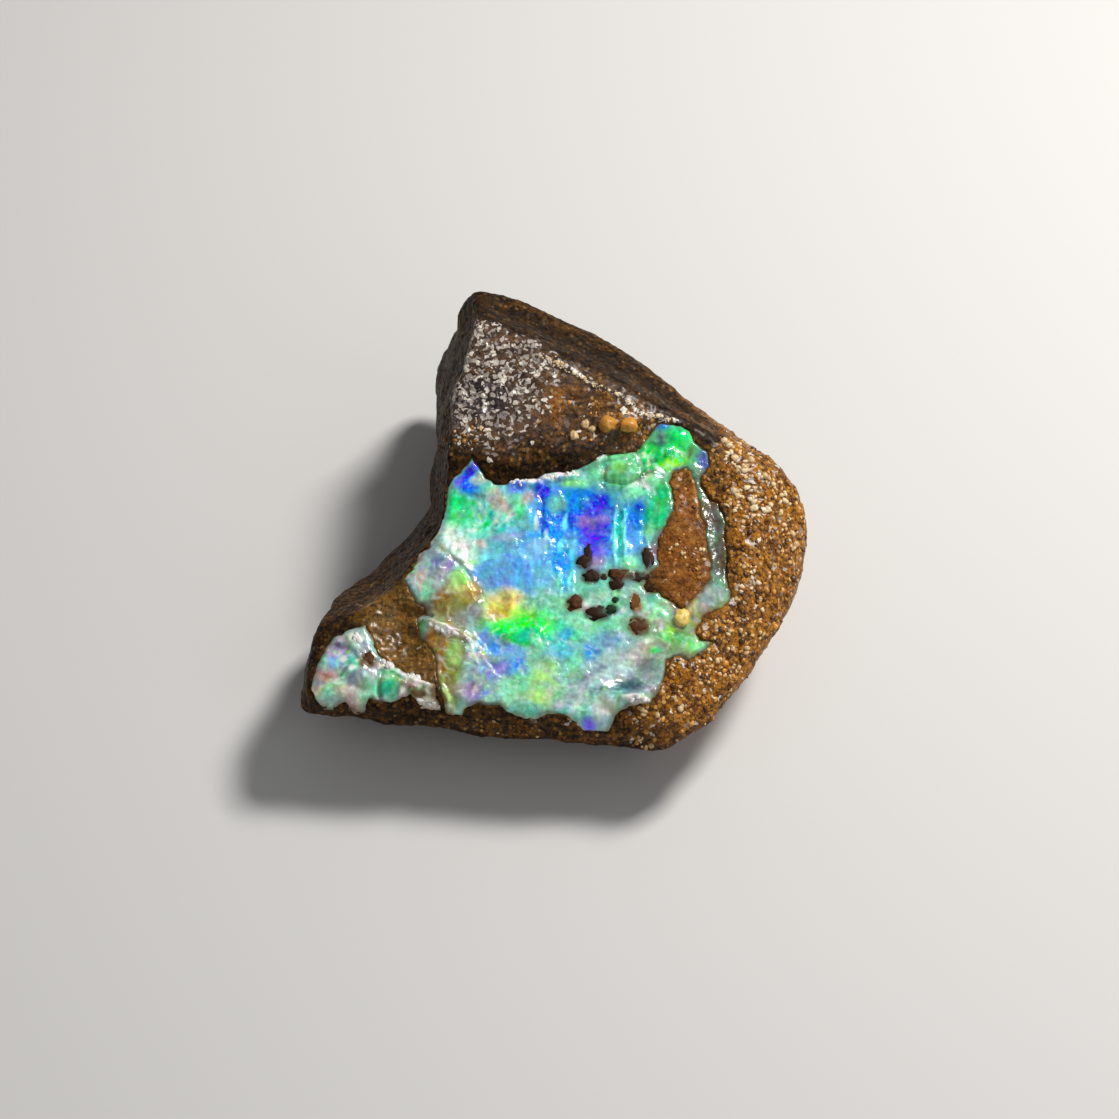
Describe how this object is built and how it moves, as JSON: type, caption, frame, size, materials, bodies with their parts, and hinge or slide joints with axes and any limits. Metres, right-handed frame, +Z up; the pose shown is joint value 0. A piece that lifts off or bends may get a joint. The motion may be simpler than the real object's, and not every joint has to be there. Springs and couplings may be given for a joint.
{
  "type": "rough boulder opal",
  "caption": "Rough boulder opal: a seam of blue, green and violet precious opal laid bare on a broken piece of brown ironstone, resting on a flat foot.",
  "frame": {"origin": "middle of the bounding box, on the flat foot that the stone rests on", "axes": "+Z up from the foot, +Y away from someone looking down on the opal face, +X to their right"},
  "size_m": [0.0164, 0.0164, 0.0078],
  "materials": {
    "ironstone": "rough, with a wet sheen on its grains",
    "opal": "glossy, with a play of blue, green and violet"
  },
  "bodies": {
    "root": {"boulder_opal": "ironstone"}
  },
  "joints": []
}
